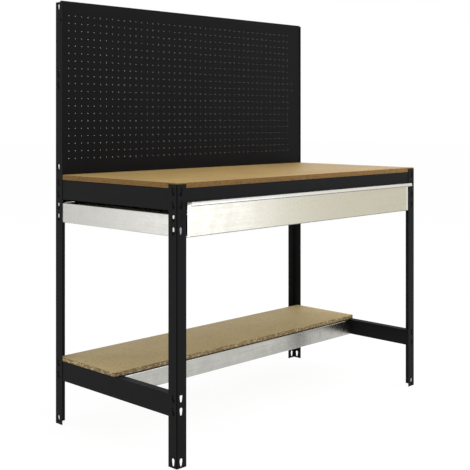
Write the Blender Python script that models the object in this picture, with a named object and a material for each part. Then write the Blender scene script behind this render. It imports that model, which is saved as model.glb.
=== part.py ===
"""Workbench with a perforated back panel, one wide drawer and a half-depth shelf.

Metres, +Z up. X runs along the bench, the front faces -Y, and the origin lies on
the floor below the middle of the bench's overall box. Four folded angle posts carry angle
beams with rivets in keyholes. The boards lie on the beams' upper folds, and the
drawer slides in two galvanised guides that hang in the posts below the side beams.
"""

import math

import bmesh
import bpy
from mathutils import Matrix, Vector

MM = 0.001

# Whole bench
BENCH_WIDTH = 1210 * MM
BENCH_DEPTH = 600 * MM
REAR_POST_HEIGHT = 1395 * MM
WORKTOP_HEIGHT = 824 * MM
SHELF_HEIGHT = 223.5 * MM
WORKTOP_THICKNESS = 16 * MM
WORKTOP_RISE = 4 * MM
FIT_GAP = 0.3 * MM
CUT_OVERRUN = 2 * MM

# Angle posts
POST_SHEET = 1.5 * MM
POST_FLANGE = 37 * MM
SHEET_INNER_RADIUS = 1 * MM
FOOT_HOLE_HEIGHT = 17 * MM
BACK_HOLE_RISE = 24 * MM
TOP_HOLE_DROP = 16 * MM

# Keyholes and rivets
HOLE_SETBACK = 16.5 * MM
HOLE_PITCH = 38 * MM
KEYHOLE_HEIGHT = 23 * MM
KEYHOLE_WIDE_RADIUS = 5.8 * MM
RIVET_SHANK_RADIUS = 3.5 * MM
RIVET_HEAD_RADIUS = 5.2 * MM
RIVET_HEAD_HEIGHT = 2 * MM
RIVET_TAIL_RADIUS = 4.6 * MM
RIVET_TAIL_HEIGHT = 1.4 * MM
RIVET_CROWN_SHARE = 0.72

# Angle beams
BEAM_SHEET = 1.5 * MM
BEAM_HEIGHT = 64 * MM
BEAM_TOP_FLANGE = 30 * MM
BEAM_RIVET_RISE = 9.5 * MM
BRACKET_RISE_SHARE = 0.489

# Shelf and its ties
SHELF_THICKNESS = 13 * MM
SHELF_REAR_SETBACK = 21 * MM
SHELF_DEPTH_SHARE = 0.4833
TIE_SETBACK = 1 * MM
TIE_BASE_RISE = 1.8 * MM
TIE_HEIGHT = 57.5 * MM
TIE_SHEET = 1.2 * MM
TIE_FLANGE = 28 * MM
TIE_TAB_REACH = 22 * MM
TIE_TAB_MARGIN = 3 * MM
TONGUE_SETBACK = 11 * MM
TONGUE_RISE = 10 * MM
TONGUE_PITCH = 31 * MM
TONGUE_DEPTH_SHARE = 0.4
SLOT_WIDTH = 4 * MM
SLOT_HEIGHT = 9 * MM

# Back panel
PANEL_SHEET = 1 * MM
PANEL_FOLD = 9 * MM
PANEL_TOP_RISE = 4 * MM
PANEL_BASE_GAP = 2.2 * MM
PANEL_SCREW_RADIUS = 2 * MM
PANEL_SCREW_HEAD_RADIUS = 4 * MM
PANEL_SCREW_HEAD_HEIGHT = 1.6 * MM
PANEL_SCREW_LENGTH = 9 * MM
PANEL_SCREW_DROP = 60 * MM

# Drawer guides
GUIDE_SHEET = 1.2 * MM
GUIDE_OVERLAP = 10 * MM
GUIDE_SIDE_PLAY = 1 * MM

# Drawer
DRAWER_SHEET = 1 * MM
DRAWER_END_SETBACK = 41.5 * MM
DRAWER_FRONT_HEIGHT = 104 * MM
DRAWER_TOP_DROP = 56.5 * MM
DRAWER_LIP_REACH = 20 * MM
DRAWER_LIP_DROP = 12 * MM
DRAWER_FRONT_RETURN = 10 * MM
DRAWER_REAR_CLEARANCE = 30 * MM
DRAWER_HEM = 9 * MM
DRAWER_BACK_TAB = 15 * MM
DRAWER_BACK_DROP = 1.5 * MM

# Facets
BEND_STEPS = 2
RIVET_SIDES = 10
HOLE_SIDES = 12
KEYHOLE_TOP_STEPS = 6
KEYHOLE_FOOT_STEPS = 5
SMOOTH_ANGLE = math.radians(40)

# Places worked out from the sizes above
KEYHOLE_NARROW_RADIUS = RIVET_SHANK_RADIUS + FIT_GAP
KEYHOLE_RIVET_DROP = KEYHOLE_HEIGHT / 2 - KEYHOLE_NARROW_RADIUS
PLATE_SETBACK = POST_SHEET + FIT_GAP
FRONT_POST_HEIGHT = WORKTOP_HEIGHT - WORKTOP_RISE
TOP_BEAM_BASE = WORKTOP_HEIGHT - WORKTOP_THICKNESS - FIT_GAP - BEAM_HEIGHT
SHELF_BEAM_BASE = SHELF_HEIGHT - SHELF_THICKNESS - FIT_GAP - BEAM_HEIGHT
BRACKET_BASE = WORKTOP_HEIGHT + BRACKET_RISE_SHARE * (REAR_POST_HEIGHT - WORKTOP_HEIGHT)
PANEL_SCREW_HEIGHT = REAR_POST_HEIGHT - PANEL_SCREW_DROP
BEAM_CORE = BEAM_SHEET + SHEET_INNER_RADIUS
GUIDE_BASE = TOP_BEAM_BASE - 2 * HOLE_PITCH
GUIDE_LEDGE = DRAWER_END_SETBACK - PLATE_SETBACK + GUIDE_OVERLAP
SHELF_DEPTH = SHELF_DEPTH_SHARE * BENCH_DEPTH
SHELF_FRONT_SETBACK = BENCH_DEPTH - SHELF_REAR_SETBACK - SHELF_DEPTH
DRAWER_FRONT_BASE = WORKTOP_HEIGHT - DRAWER_TOP_DROP - DRAWER_FRONT_HEIGHT
DRAWER_DEPTH = BENCH_DEPTH - DRAWER_REAR_CLEARANCE

HALF_WIDTH = BENCH_WIDTH / 2
HALF_DEPTH = BENCH_DEPTH / 2

# The four sides of the bench, each with its turn about Z from the front one
FRONT_TURN = 0.0
REAR_TURN = math.pi
LEFT_TURN = -math.pi / 2
RIGHT_TURN = math.pi / 2


def make_material(name, colour, roughness, metallic):
    """Return a Principled material with one colour."""
    material = bpy.data.materials.new(name)
    material.use_nodes = True
    shader = material.node_tree.nodes["Principled BSDF"]
    shader.inputs["Base Color"].default_value = (*colour, 1.0)
    shader.inputs["Roughness"].default_value = roughness
    shader.inputs["Metallic"].default_value = metallic
    material.diffuse_color = (*colour, 1.0)
    return material


def black_steel(name):
    """Powder coated steel sheet."""
    return make_material(name + "_coat", (0.018, 0.018, 0.019), 0.5, 0.0)


def zinc_steel(name):
    """Galvanised steel sheet."""
    return make_material(name + "_zinc", (0.62, 0.60, 0.56), 0.35, 1.0)


def worktop_board_material(name):
    """Smooth fibreboard."""
    return make_material(name + "_fibreboard", (0.47, 0.30, 0.14), 0.6, 0.0)


def chipboard_material(name):
    """Raw pressed chips."""
    return make_material(name + "_chipboard", (0.42, 0.33, 0.18), 0.75, 0.0)


def mesh_object(name, mesh, material, location=(0, 0, 0), turn=0.0, parent=None):
    """Put a mesh in the scene as one piece with its own material."""
    piece = bpy.data.objects.new(name, mesh)
    bpy.context.scene.collection.objects.link(piece)
    piece.location = location
    piece.rotation_euler = (0, 0, turn)
    if parent is not None:
        piece.parent = parent
    if material is not None:
        piece.data.materials.clear()
        piece.data.materials.append(material)
    return piece


def close_mesh(name, builder):
    """Turn a bmesh into a mesh with its faces pointing out."""
    bmesh.ops.recalc_face_normals(builder, faces=builder.faces)
    mesh = bpy.data.meshes.new(name)
    builder.to_mesh(mesh)
    builder.free()
    return mesh


def add_prism(builder, outline, start, end, axis):
    """Extrude a closed outline along X, Y or Z between two places on that axis.

    The outline's two numbers are the other two axes in their usual order.
    """
    def place(point, along):
        values = list(point)
        values.insert(axis, along)
        return Vector(values)

    first = [builder.verts.new(place(point, start)) for point in outline]
    last = [builder.verts.new(place(point, end)) for point in outline]
    builder.faces.new(first)
    builder.faces.new(reversed(last))
    for index, corner in enumerate(first):
        following = (index + 1) % len(first)
        builder.faces.new((corner, last[index], last[following], first[following]))


def add_box(builder, low, high):
    """Add a plain box between two corners."""
    outline = [(low[0], low[1]), (high[0], low[1]), (high[0], high[1]), (low[0], high[1])]
    add_prism(builder, outline, low[2], high[2], 2)


def prism_mesh(name, outline, start, end, axis):
    """Return the mesh of one extruded outline."""
    builder = bmesh.new()
    add_prism(builder, outline, start, end, axis)
    return close_mesh(name, builder)


def sheet_outline(path, sheet):
    """Return the closed outline of a folded sheet from its middle line.

    Each inner point of the path is a fold with the common inside radius.
    """
    radius = SHEET_INNER_RADIUS + sheet / 2
    places = []
    count = len(path)
    for index, point in enumerate(path):
        here = Vector(point)
        if index in (0, count - 1):
            neighbour = Vector(path[1] if index == 0 else path[count - 2])
            along = (neighbour - here) if index == 0 else (here - neighbour)
            along.normalize()
            places.append((here, Vector((-along.y, along.x))))
            continue
        before = (here - Vector(path[index - 1])).normalized()
        after = (Vector(path[index + 1]) - here).normalized()
        turn = before.angle_signed(after)
        centre = here + radius * (after - before)
        for step in range(BEND_STEPS + 1):
            share = step / BEND_STEPS
            along = Matrix.Rotation(-turn * share, 2) @ before
            normal = Vector((-along.y, along.x))
            side = 1 if (centre - here).dot(Vector((-before.y, before.x))) > 0 else -1
            places.append((centre - side * radius * normal, normal))
    left = [tuple(place + normal * sheet / 2) for place, normal in places]
    right = [tuple(place - normal * sheet / 2) for place, normal in places]
    return left + right[::-1]


def circle_outline(centre, radius, sides):
    """Return a round outline."""
    points = []
    for index in range(sides):
        angle = 2 * math.pi * (index + 0.5) / sides
        points.append((centre[0] + radius * math.cos(angle), centre[1] + radius * math.sin(angle)))
    return points


def keyhole_outline(centre):
    """Return a keyhole, round and wide at its top and narrow at its foot."""
    wide_height = KEYHOLE_HEIGHT / 2 - KEYHOLE_WIDE_RADIUS
    foot_height = KEYHOLE_NARROW_RADIUS - KEYHOLE_HEIGHT / 2
    lean = math.asin((KEYHOLE_WIDE_RADIUS - KEYHOLE_NARROW_RADIUS) / (wide_height - foot_height))
    points = []
    for step in range(KEYHOLE_TOP_STEPS + 1):
        angle = -lean + (math.pi + 2 * lean) * step / KEYHOLE_TOP_STEPS
        across = KEYHOLE_WIDE_RADIUS * math.cos(angle)
        up = wide_height + KEYHOLE_WIDE_RADIUS * math.sin(angle)
        points.append((centre[0] + across, centre[1] + up))
    for step in range(KEYHOLE_FOOT_STEPS + 1):
        angle = math.pi + lean + (math.pi - 2 * lean) * step / KEYHOLE_FOOT_STEPS
        across = KEYHOLE_NARROW_RADIUS * math.cos(angle)
        up = foot_height + KEYHOLE_NARROW_RADIUS * math.sin(angle)
        points.append((centre[0] + across, centre[1] + up))
    return points


def apply_tool(piece, builder, operation):
    """Cut or join a piece with the closed shapes in a bmesh."""
    mesh = close_mesh(piece.name + "_tool", builder)
    tool_name = f"{piece.name}_{operation.lower()}_{len(piece.modifiers)}"
    tool = mesh_object(tool_name, mesh, None, parent=piece)
    tool.hide_render = True
    tool.display_type = "WIRE"
    modifier = piece.modifiers.new(operation.title(), "BOOLEAN")
    modifier.operation = operation
    modifier.solver = "EXACT"
    modifier.object = tool


def beam_rivet_heights(base):
    """Heights of a beam's two rivets at each end."""
    return [base + BEAM_RIVET_RISE + row * HOLE_PITCH for row in range(2)]


def front_keyhole_heights():
    """Middle heights of the keyholes that all four posts share."""
    shelf_rows = [height + KEYHOLE_RIVET_DROP for height in beam_rivet_heights(SHELF_BEAM_BASE)]
    top_rows = [height + KEYHOLE_RIVET_DROP for height in beam_rivet_heights(TOP_BEAM_BASE)]
    guide_rows = [top_rows[0] - row * HOLE_PITCH for row in (1, 2)]
    return [FOOT_HOLE_HEIGHT] + shelf_rows + guide_rows + top_rows


def rear_keyhole_heights():
    """Middle heights of the keyholes in a rear post."""
    bracket_rows = [height + KEYHOLE_RIVET_DROP for height in beam_rivet_heights(BRACKET_BASE)]
    top_row = REAR_POST_HEIGHT - TOP_HOLE_DROP
    back_row = WORKTOP_HEIGHT + BACK_HOLE_RISE
    return front_keyhole_heights() + [back_row] + bracket_rows + [top_row]


def tongue_heights(base):
    """Middle heights of a tie's two tongues, above a tie with its underside at the base."""
    return [base + TONGUE_RISE + row * TONGUE_PITCH for row in range(2)]


def tie_faces():
    """Distances from the bench's front plane to the outer faces of both ties."""
    rear_face = BENCH_DEPTH - SHELF_REAR_SETBACK - TIE_SETBACK
    return SHELF_FRONT_SETBACK + TIE_SETBACK, rear_face


def panel_face_setback():
    """Distance from the bench's rear plane to the panel's front face."""
    return PLATE_SETBACK + BEAM_TOP_FLANGE + FIT_GAP + PANEL_SHEET


def panel_screw_setback():
    """Distance from the bench's rear plane to the panel's screws."""
    return panel_face_setback() - PANEL_FOLD / 2 - PANEL_SHEET / 2


def make_post(name, height, keyhole_heights, side_x, side_y, turn, screw_flange=None):
    """Make one angle post with keyholes in both flanges.

    In the post's own frame the outer corner stands at zero and the flanges run
    along +X and +Y. The screw flange, 0 or 1, also has the panel's screw hole.
    """
    half_sheet = POST_SHEET / 2
    path = [(POST_FLANGE, half_sheet), (half_sheet, half_sheet), (half_sheet, POST_FLANGE)]
    mesh = prism_mesh(name, sheet_outline(path, POST_SHEET), 0, height, 2)
    corner = (side_x * HALF_WIDTH, side_y * HALF_DEPTH, 0)
    post = mesh_object(name, mesh, black_steel(name), corner, turn)
    builder = bmesh.new()
    through = (-CUT_OVERRUN, POST_SHEET + CUT_OVERRUN)
    for middle in keyhole_heights:
        outline = keyhole_outline((HOLE_SETBACK, middle))
        add_prism(builder, outline, *through, 0)
        add_prism(builder, outline, *through, 1)
    if screw_flange is not None:
        middle = (panel_screw_setback(), PANEL_SCREW_HEIGHT)
        outline = circle_outline(middle, PANEL_SCREW_RADIUS + FIT_GAP, HOLE_SIDES)
        add_prism(builder, outline, *through, screw_flange)
    apply_tool(post, builder, "DIFFERENCE")
    return post


def rivet_mesh(name, grip, shank_radius, head_radius, head_height, tail_radius, tail_height):
    """Return a headed pin along Y, its head's seat at zero and its head towards -Y."""
    rings = [
        (head_radius * RIVET_CROWN_SHARE, -head_height),
        (head_radius, 0),
        (shank_radius, 0),
        (shank_radius, grip),
        (tail_radius, grip),
        (tail_radius, grip + tail_height),
    ]
    builder = bmesh.new()
    loops = []
    for radius, along in rings:
        outline = circle_outline((0, 0), radius, RIVET_SIDES)
        loops.append([builder.verts.new((x, along, z)) for x, z in outline])
    for lower, upper in zip(loops, loops[1:]):
        for index in range(RIVET_SIDES):
            following = (index + 1) % RIVET_SIDES
            builder.faces.new((lower[index], lower[following], upper[following], upper[index]))
    builder.faces.new(loops[0])
    builder.faces.new(reversed(loops[-1]))
    mesh = close_mesh(name, builder)
    mesh.shade_smooth()
    mesh.set_sharp_from_angle(angle=SMOOTH_ANGLE)
    return mesh


def rivet_places(half_span):
    """Return a side's four rivets as places along it and heights above its base."""
    reach = half_span - HOLE_SETBACK
    return [(side * reach, height) for side in (-1, 1) for height in beam_rivet_heights(0)]


def add_rivet_holes(builder, places, sheet):
    """Add the cutters of a web's rivet holes, at places in the web's own frame."""
    for place in places:
        outline = circle_outline(place, RIVET_SHANK_RADIUS + FIT_GAP, HOLE_SIDES)
        add_prism(builder, outline, -CUT_OVERRUN, sheet + CUT_OVERRUN, 1)


def add_rivets(carrier, places, sheet):
    """Give a beam, bracket or guide its rivets, at places in its own frame."""
    grip = PLATE_SETBACK + 2 * FIT_GAP + sheet
    mesh = None
    for number, (along, height) in enumerate(places, start=1):
        name = f"{carrier.name}_rivet_{number}"
        if mesh is None:
            mesh = rivet_mesh(
                name, grip, RIVET_SHANK_RADIUS, RIVET_HEAD_RADIUS, RIVET_HEAD_HEIGHT,
                RIVET_TAIL_RADIUS, RIVET_TAIL_HEIGHT,
            )
        location = (along, -PLATE_SETBACK - FIT_GAP, height)
        mesh_object(name, mesh.copy(), black_steel(name), location, parent=carrier)


def beam_outline():
    """Return the outline of an angle beam, its web upright and its flange on top."""
    half_sheet = BEAM_SHEET / 2
    path = [
        (half_sheet, 0),
        (half_sheet, BEAM_HEIGHT - half_sheet),
        (BEAM_TOP_FLANGE, BEAM_HEIGHT - half_sheet),
    ]
    return sheet_outline(path, BEAM_SHEET)


def side_location(reach, base, turn):
    """Place a web inside the posts' flanges on one side of the bench."""
    outward = Matrix.Rotation(turn, 3, "Z") @ Vector((0, -1, 0))
    return outward * (reach - PLATE_SETBACK) + Vector((0, 0, base))


def make_beam(name, base, turn, slots=()):
    """Make one angle beam with a hole for each rivet, and its four rivets.

    In the beam's own frame it runs along X, its web's outer face is at Y zero
    and its flange runs towards +Y. The side beams' webs run through to the front
    and rear posts, and the long beams end clear of them. Each slot is a place
    along X where a tie's two tongues go through the web.
    """
    is_side = turn in (LEFT_TURN, RIGHT_TURN)
    half_span, reach = (HALF_DEPTH, HALF_WIDTH) if is_side else (HALF_WIDTH, HALF_DEPTH)
    clear_of_web = PLATE_SETBACK + BEAM_CORE + FIT_GAP
    clear_of_flange = PLATE_SETBACK + BEAM_TOP_FLANGE + FIT_GAP
    half_web = half_span - (PLATE_SETBACK if is_side else clear_of_web)
    half_flange = half_span - (clear_of_web if is_side else clear_of_flange)
    mesh = prism_mesh(name, beam_outline(), -half_web, half_web, 0)
    location = side_location(reach, base, turn)
    beam = mesh_object(name, mesh, black_steel(name), location, turn)
    places = rivet_places(half_span)
    builder = bmesh.new()
    add_rivet_holes(builder, places, BEAM_SHEET)
    for side in (-1, 1):
        ends = sorted((side * half_flange, side * (half_web + CUT_OVERRUN)))
        low = (ends[0], BEAM_CORE, BEAM_HEIGHT - BEAM_CORE)
        high = (ends[1], BEAM_TOP_FLANGE + CUT_OVERRUN, BEAM_HEIGHT + CUT_OVERRUN)
        add_box(builder, low, high)
    for along in slots:
        for middle in tongue_heights(TIE_BASE_RISE):
            low = (along - SLOT_WIDTH / 2, -CUT_OVERRUN, middle - SLOT_HEIGHT / 2)
            high = (along + SLOT_WIDTH / 2, BEAM_SHEET + CUT_OVERRUN, middle + SLOT_HEIGHT / 2)
            add_box(builder, low, high)
    apply_tool(beam, builder, "DIFFERENCE")
    add_rivets(beam, places, BEAM_SHEET)
    return beam


def make_bracket(name, turn):
    """Make one short length of beam that backs the panel's side fold.

    It hangs in the rear post's side flange and ends just behind the fold.
    """
    way = math.sin(turn)
    panel_rear = HALF_DEPTH - panel_face_setback() + PANEL_FOLD
    ends = sorted((way * (panel_rear + FIT_GAP), way * (HALF_DEPTH - PLATE_SETBACK)))
    mesh = prism_mesh(name, beam_outline(), *ends, 0)
    location = side_location(HALF_WIDTH, BRACKET_BASE, turn)
    bracket = mesh_object(name, mesh, black_steel(name), location, turn)
    places = [place for place in rivet_places(HALF_DEPTH) if place[0] * way > 0]
    builder = bmesh.new()
    add_rivet_holes(builder, places, BEAM_SHEET)
    apply_tool(bracket, builder, "DIFFERENCE")
    add_rivets(bracket, places, BEAM_SHEET)
    return bracket


def make_tie(name, front_setback, turn):
    """Make a galvanised tie with a tab and two tongues at each end.

    The tab stands against the shelf beam's web, and the tongues go through the
    web's slots.
    """
    half_sheet = TIE_SHEET / 2
    path = [
        (TIE_FLANGE, half_sheet),
        (half_sheet, half_sheet),
        (half_sheet, TIE_HEIGHT - half_sheet),
        (TIE_FLANGE, TIE_HEIGHT - half_sheet),
    ]
    half_length = HALF_WIDTH - PLATE_SETBACK - BEAM_SHEET - FIT_GAP
    half_channel = half_length - half_sheet
    mesh = prism_mesh(name, sheet_outline(path, TIE_SHEET), -half_channel, half_channel, 0)
    location = (0, front_setback - HALF_DEPTH, SHELF_BEAM_BASE + TIE_BASE_RISE)
    tie = mesh_object(name, mesh, zinc_steel(name), location, turn)
    builder = bmesh.new()
    for side in (-1, 1):
        ends = sorted((side * (half_length - TIE_SHEET), side * half_length))
        low = (ends[0], half_sheet, TIE_TAB_MARGIN)
        high = (ends[1], TIE_TAB_REACH, TIE_HEIGHT - TIE_TAB_MARGIN)
        add_box(builder, low, high)
    apply_tool(tie, builder, "UNION")
    builder = bmesh.new()
    tongue_half_height = SLOT_HEIGHT / 2 - FIT_GAP
    tongue_end = half_length + FIT_GAP + TONGUE_DEPTH_SHARE * BEAM_SHEET
    for side in (-1, 1):
        ends = sorted((side * half_channel, side * tongue_end))
        for middle in tongue_heights(0):
            low = (ends[0], TONGUE_SETBACK - half_sheet, middle - tongue_half_height)
            high = (ends[1], TONGUE_SETBACK + half_sheet, middle + tongue_half_height)
            add_box(builder, low, high)
    apply_tool(tie, builder, "UNION")
    return tie


def make_board(name, front_setback, rear_setback, top, thickness, material):
    """Make a board that lies on the beams between the posts' flanges."""
    half_width = HALF_WIDTH - PLATE_SETBACK
    builder = bmesh.new()
    low = (-half_width, front_setback - HALF_DEPTH, top - thickness)
    high = (half_width, HALF_DEPTH - rear_setback, top)
    add_box(builder, low, high)
    return mesh_object(name, close_mesh(name, builder), material)


def make_panel():
    """Make the back panel, a shallow tray with its four folds to the rear."""
    name = "perforated_panel"
    half_width = HALF_WIDTH - PLATE_SETBACK
    base = WORKTOP_HEIGHT + PANEL_BASE_GAP
    top = REAR_POST_HEIGHT + PANEL_TOP_RISE
    face = HALF_DEPTH - panel_face_setback()
    builder = bmesh.new()
    add_box(builder, (-half_width, face, base), (half_width, face + PANEL_FOLD, top))
    panel = mesh_object(name, close_mesh(name, builder), black_steel(name))
    builder = bmesh.new()
    low = (PANEL_SHEET - half_width, face + PANEL_SHEET, base + PANEL_SHEET)
    high = (half_width - PANEL_SHEET, face + PANEL_FOLD + CUT_OVERRUN, top - PANEL_SHEET)
    add_box(builder, low, high)
    apply_tool(panel, builder, "DIFFERENCE")
    middle = (HALF_DEPTH - panel_screw_setback(), PANEL_SCREW_HEIGHT)
    outline = circle_outline(middle, PANEL_SCREW_RADIUS + FIT_GAP, HOLE_SIDES)
    builder = bmesh.new()
    for side in (-1, 1):
        wall = sorted((side * (half_width + CUT_OVERRUN), side * (half_width - 2 * PANEL_SHEET)))
        add_prism(builder, outline, *wall, 0)
    apply_tool(panel, builder, "DIFFERENCE")
    return panel


def make_panel_screw(name, turn, side):
    """Make the screw that goes through a rear post into the panel's side fold."""
    mesh = rivet_mesh(
        name, PANEL_SCREW_LENGTH, PANEL_SCREW_RADIUS, PANEL_SCREW_HEAD_RADIUS,
        PANEL_SCREW_HEAD_HEIGHT, PANEL_SCREW_RADIUS, PANEL_SCREW_RADIUS,
    )
    location = (
        side * (HALF_WIDTH + FIT_GAP), HALF_DEPTH - panel_screw_setback(), PANEL_SCREW_HEIGHT,
    )
    return mesh_object(name, mesh, black_steel(name), location, turn)


def make_guide(name, turn):
    """Make one drawer guide, a channel that hangs in the posts below a side beam.

    In its own frame it runs along X with its web's outer face at Y zero. Its two
    ledges run towards +Y, below and above the side of the drawer.
    """
    half_sheet = GUIDE_SHEET / 2
    path = [
        (GUIDE_LEDGE, half_sheet),
        (half_sheet, half_sheet),
        (half_sheet, BEAM_HEIGHT - half_sheet),
        (GUIDE_LEDGE, BEAM_HEIGHT - half_sheet),
    ]
    half_length = HALF_DEPTH - PLATE_SETBACK
    mesh = prism_mesh(name, sheet_outline(path, GUIDE_SHEET), -half_length, half_length, 0)
    location = side_location(HALF_WIDTH, GUIDE_BASE, turn)
    guide = mesh_object(name, mesh, zinc_steel(name), location, turn)
    places = rivet_places(HALF_DEPTH)
    builder = bmesh.new()
    add_rivet_holes(builder, places, GUIDE_SHEET)
    apply_tool(guide, builder, "DIFFERENCE")
    add_rivets(guide, places, GUIDE_SHEET)
    return guide


def make_drawer_front(pivot):
    """Make the drawer's front with its lip and its lower fold."""
    name = "drawer_front"
    half_sheet = DRAWER_SHEET / 2
    inner_face = PLATE_SETBACK - FIT_GAP
    face = inner_face - half_sheet
    top = DRAWER_FRONT_BASE + DRAWER_FRONT_HEIGHT - half_sheet
    lip = face - DRAWER_LIP_REACH
    path = [
        (inner_face + DRAWER_FRONT_RETURN, DRAWER_FRONT_BASE + half_sheet),
        (face, DRAWER_FRONT_BASE + half_sheet),
        (face, top),
        (lip, top),
        (lip, top - DRAWER_LIP_DROP),
    ]
    half_width = HALF_WIDTH - DRAWER_END_SETBACK
    mesh = prism_mesh(name, sheet_outline(path, DRAWER_SHEET), -half_width, half_width, 0)
    return mesh_object(name, mesh, zinc_steel(name), (0, 0, 0), parent=pivot)


def runner_base():
    """Height of the underside of the tray's runners, just above the guides' ledges."""
    return GUIDE_BASE + GUIDE_SHEET + FIT_GAP


def floor_base():
    """Height of the underside of the tray's floor, just above the front's lower fold."""
    return DRAWER_FRONT_BASE + DRAWER_SHEET + FIT_GAP


def floor_half_width():
    """Half the outer width of the tray's floor, which lies between the guides' ledges."""
    return HALF_WIDTH - PLATE_SETBACK - GUIDE_LEDGE - GUIDE_SIDE_PLAY


def rim_top():
    """Height of the tray's rolled rims, just below the guides' upper ledges."""
    return GUIDE_BASE + BEAM_HEIGHT - GUIDE_SHEET - FIT_GAP


def make_drawer_tray(pivot):
    """Make the drawer's floor, runners, sides and rims, one folded sheet."""
    name = "drawer_tray"
    half_sheet = DRAWER_SHEET / 2
    side = HALF_WIDTH - DRAWER_END_SETBACK - half_sheet
    step = floor_half_width() - half_sheet
    floor = floor_base() + half_sheet
    runner = runner_base() + half_sheet
    top = rim_top() - half_sheet
    path = [
        (DRAWER_HEM - side, top), (-side, top), (-side, runner), (-step, runner),
        (-step, floor), (step, floor),
        (step, runner), (side, runner), (side, top), (side - DRAWER_HEM, top),
    ]
    start = PLATE_SETBACK
    mesh = prism_mesh(name, sheet_outline(path, DRAWER_SHEET), start, start + DRAWER_DEPTH, 1)
    return mesh_object(name, mesh, zinc_steel(name), (0, 0, 0), parent=pivot)


def make_drawer_back(pivot):
    """Make the drawer's back, with a tab along each side of the tray.

    Its lower corners are cut out over the tray's runners. Its middle stands up
    between the guides' upper ledges, to just below the beams.
    """
    name = "drawer_back"
    half_sheet = DRAWER_SHEET / 2
    side = HALF_WIDTH - DRAWER_END_SETBACK - DRAWER_SHEET - FIT_GAP - half_sheet
    rear = PLATE_SETBACK + DRAWER_DEPTH - half_sheet
    path = [
        (-side, rear - DRAWER_BACK_TAB), (-side, rear), (side, rear), (side, rear - DRAWER_BACK_TAB),
    ]
    base = floor_base() + DRAWER_SHEET + FIT_GAP
    top = TOP_BEAM_BASE - DRAWER_BACK_DROP
    below_rim = rim_top() - DRAWER_SHEET - FIT_GAP
    mesh = prism_mesh(name, sheet_outline(path, DRAWER_SHEET), base, top, 2)
    back = mesh_object(name, mesh, zinc_steel(name), (0, 0, 0), parent=pivot)
    inner_step = floor_half_width() - DRAWER_SHEET - SHEET_INNER_RADIUS - FIT_GAP
    above_runner = runner_base() + DRAWER_SHEET + SHEET_INNER_RADIUS
    builder = bmesh.new()
    for way in (-1, 1):
        ends = sorted((way * inner_step, way * (side + CUT_OVERRUN)))
        for bottom, upper in ((base - CUT_OVERRUN, above_runner), (below_rim, top + CUT_OVERRUN)):
            low = (ends[0], rear - DRAWER_BACK_TAB - CUT_OVERRUN, bottom)
            add_box(builder, low, (ends[1], rear + CUT_OVERRUN, upper))
    apply_tool(back, builder, "DIFFERENCE")
    return back


def make_drawer():
    """Make the drawer under an empty that slides along Y."""
    pivot = bpy.data.objects.new("drawer_slide", None)
    bpy.context.scene.collection.objects.link(pivot)
    pivot.location = (0, -HALF_DEPTH, 0)
    make_drawer_front(pivot)
    make_drawer_tray(pivot)
    make_drawer_back(pivot)


def make_posts():
    """Make the two short front posts and the two tall rear posts."""
    front = front_keyhole_heights()
    rear = rear_keyhole_heights()
    make_post("front_post_left", FRONT_POST_HEIGHT, front, -1, -1, FRONT_TURN)
    make_post("front_post_right", FRONT_POST_HEIGHT, front, 1, -1, RIGHT_TURN)
    make_post("rear_post_left", REAR_POST_HEIGHT, rear, -1, 1, LEFT_TURN, screw_flange=1)
    make_post("rear_post_right", REAR_POST_HEIGHT, rear, 1, 1, REAR_TURN, screw_flange=0)


def make_beams():
    """Make the beams of both frames and the brackets behind the panel."""
    front_face, rear_face = tie_faces()
    tongues = (front_face + TONGUE_SETBACK, rear_face - TONGUE_SETBACK)
    for label, turn in (("left", LEFT_TURN), ("right", RIGHT_TURN)):
        slots = [math.sin(turn) * (setback - HALF_DEPTH) for setback in tongues]
        make_beam(f"top_side_beam_{label}", TOP_BEAM_BASE, turn)
        make_beam(f"shelf_side_beam_{label}", SHELF_BEAM_BASE, turn, slots)
        make_bracket(f"panel_bracket_{label}", turn)
    make_beam("top_front_beam", TOP_BEAM_BASE, FRONT_TURN)
    make_beam("top_rear_beam", TOP_BEAM_BASE, REAR_TURN)


def make_boards():
    """Make the worktop, the shelf and the shelf's two ties."""
    make_board(
        "worktop_board", PLATE_SETBACK, PLATE_SETBACK, WORKTOP_HEIGHT, WORKTOP_THICKNESS,
        worktop_board_material("worktop_board"),
    )
    make_board(
        "shelf_board", SHELF_FRONT_SETBACK, SHELF_REAR_SETBACK, SHELF_HEIGHT, SHELF_THICKNESS,
        chipboard_material("shelf_board"),
    )
    front_face, rear_face = tie_faces()
    make_tie("shelf_tie_front", front_face, FRONT_TURN)
    make_tie("shelf_tie_rear", rear_face, REAR_TURN)


def make_guides():
    """Make the two drawer guides and the two screws of the panel."""
    for label, turn, side in (("left", LEFT_TURN, -1), ("right", RIGHT_TURN, 1)):
        make_guide(f"drawer_guide_{label}", turn)
        make_panel_screw(f"panel_screw_{label}", turn, side)


def centre_on_floor():
    """Move the bench so that its overall box, with lip and rivets, is centred on zero."""
    front_reach = HALF_DEPTH + DRAWER_LIP_REACH + DRAWER_SHEET + FIT_GAP - PLATE_SETBACK
    rear_reach = HALF_DEPTH + FIT_GAP + RIVET_HEAD_HEIGHT
    centre = bpy.data.objects.new("bench_centre", None)
    bpy.context.scene.collection.objects.link(centre)
    centre.location = (0, (front_reach - rear_reach) / 2, 0)
    for piece in bpy.data.objects:
        if piece.parent is None and piece is not centre:
            piece.parent = centre


def main():
    """Clear the scene and build the bench."""
    for old in list(bpy.data.objects):
        bpy.data.objects.remove(old, do_unlink=True)
    make_posts()
    make_beams()
    make_boards()
    make_panel()
    make_guides()
    make_drawer()
    centre_on_floor()
    bpy.context.view_layer.update()


main()
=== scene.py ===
"""Workbench with a drawer, a half-depth shelf and a perforated back panel."""

import logging
import math
from dataclasses import dataclass
from enum import Enum
from typing import Any

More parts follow.
